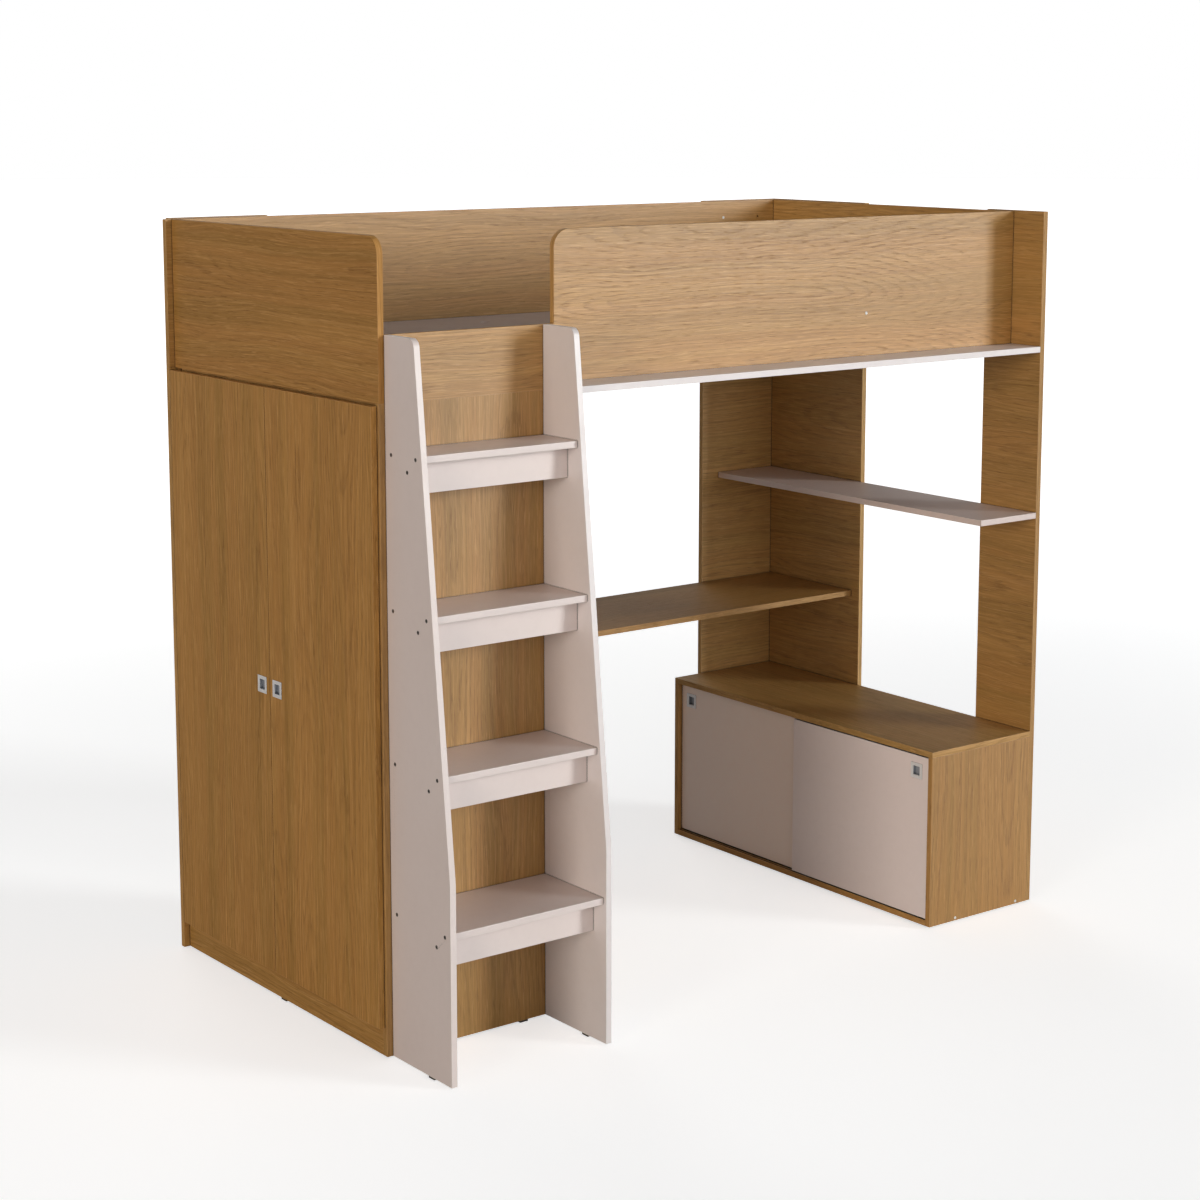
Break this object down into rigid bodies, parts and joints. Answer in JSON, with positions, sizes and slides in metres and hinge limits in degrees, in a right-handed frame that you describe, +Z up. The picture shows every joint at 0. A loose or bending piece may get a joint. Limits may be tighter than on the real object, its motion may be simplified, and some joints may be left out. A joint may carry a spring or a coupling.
{
  "type": "loft bed",
  "caption": "Loft bed with guards and an entrance step, ladder, wardrobe with hinged doors, desk, open shelf and low cabinet with sliding doors, in oak decor and blush lacquered board.",
  "frame": {"origin": "on the floor, in the middle of the bed's outline seen from above, the ladder counted in", "axes": "+X along the bed from the wardrobe end to the cabinet end, -Y the ladder side, +Z up"},
  "size_m": [1.9522, 1.177, 1.813],
  "materials": {
    "oak_decor": "matt oak-look decor foil",
    "blush_lacquer": "satin blush lacquer",
    "pine": "planed softwood",
    "hinge_steel": "nickel plated",
    "screw_steel": "dark burnished",
    "pull_metal": "satin silver",
    "white_plastic": "gloss white",
    "feet_plastic": "matt dark grey",
    "glide_plastic": "matt black"
  },
  "bodies": {
    "frame": {"guard_left": "oak_decor", "guard_right": "oak_decor", "guard_back": "oak_decor", "guard_front": "oak_decor", "front_beam": "blush_lacquer", "upright_back_left": "oak_decor", "upright_back_right": "oak_decor", "upright_end_rear": "oak_decor", "upright_end_front": "oak_decor", "deck_panel_left": "blush_lacquer", "deck_panel_middle": "blush_lacquer", "deck_panel_right": "blush_lacquer", "deck_cleats": "pine", "deck_bearers": "pine", "stile_left": "blush_lacquer", "stile_right": "blush_lacquer", "tread_1": "blush_lacquer", "tread_2": "blush_lacquer", "tread_3": "blush_lacquer", "tread_4": "blush_lacquer", "riser_1": "blush_lacquer", "riser_2": "blush_lacquer", "riser_3": "blush_lacquer", "riser_4": "blush_lacquer", "ladder_screws": "screw_steel", "screw_caps": "white_plastic", "desk_top": "oak_decor", "desk_rail": "oak_decor", "open_shelf": "blush_lacquer", "wardrobe_side_front": "oak_decor", "wardrobe_side_rear": "oak_decor", "wardrobe_back": "oak_decor", "wardrobe_floor": "oak_decor", "wardrobe_lid": "oak_decor", "wardrobe_partition": "oak_decor", "wardrobe_shelf_low": "oak_decor", "wardrobe_shelf_high": "oak_decor", "kick_board": "oak_decor", "hanging_rail": "hinge_steel", "rail_sockets": "hinge_steel", "hinge_arms": "hinge_steel", "cabinet_top": "oak_decor", "cabinet_floor": "oak_decor", "cabinet_side_front": "oak_decor", "cabinet_side_rear": "oak_decor", "cabinet_back": "oak_decor", "cabinet_divider": "oak_decor", "feet": "feet_plastic"},
    "wardrobe_door_left": {"door_left": "oak_decor", "hinge_cups_left": "hinge_steel", "pull_left": "pull_metal"},
    "wardrobe_door_right": {"door_right": "oak_decor", "hinge_cups_right": "hinge_steel", "pull_right": "pull_metal"},
    "cabinet_door_front": {"sliding_door_front": "blush_lacquer", "pull_slide_front": "pull_metal", "glides_front": "glide_plastic"},
    "cabinet_door_rear": {"sliding_door_rear": "blush_lacquer", "pull_slide_rear": "pull_metal", "glides_rear": "glide_plastic"}
  },
  "joints": [
    {"name": "door_left_hinge", "type": "hinge", "parent": "frame", "child": "wardrobe_door_left", "pos_m": [-0.9729, 0.5545, 0.757], "axis": [0, 0, -1], "range_deg": [0, 110]},
    {"name": "door_right_hinge", "type": "hinge", "parent": "frame", "child": "wardrobe_door_right", "pos_m": [-0.9729, -0.347, 0.757], "axis": [0, 0, 1], "range_deg": [0, 110]},
    {"name": "slide_front", "type": "slide", "parent": "frame", "child": "cabinet_door_front", "axis": [0, 1, 0], "range_m": [0, 0.489]},
    {"name": "slide_rear", "type": "slide", "parent": "frame", "child": "cabinet_door_rear", "axis": [0, -1, 0], "range_m": [0, 0.489]}
  ]
}
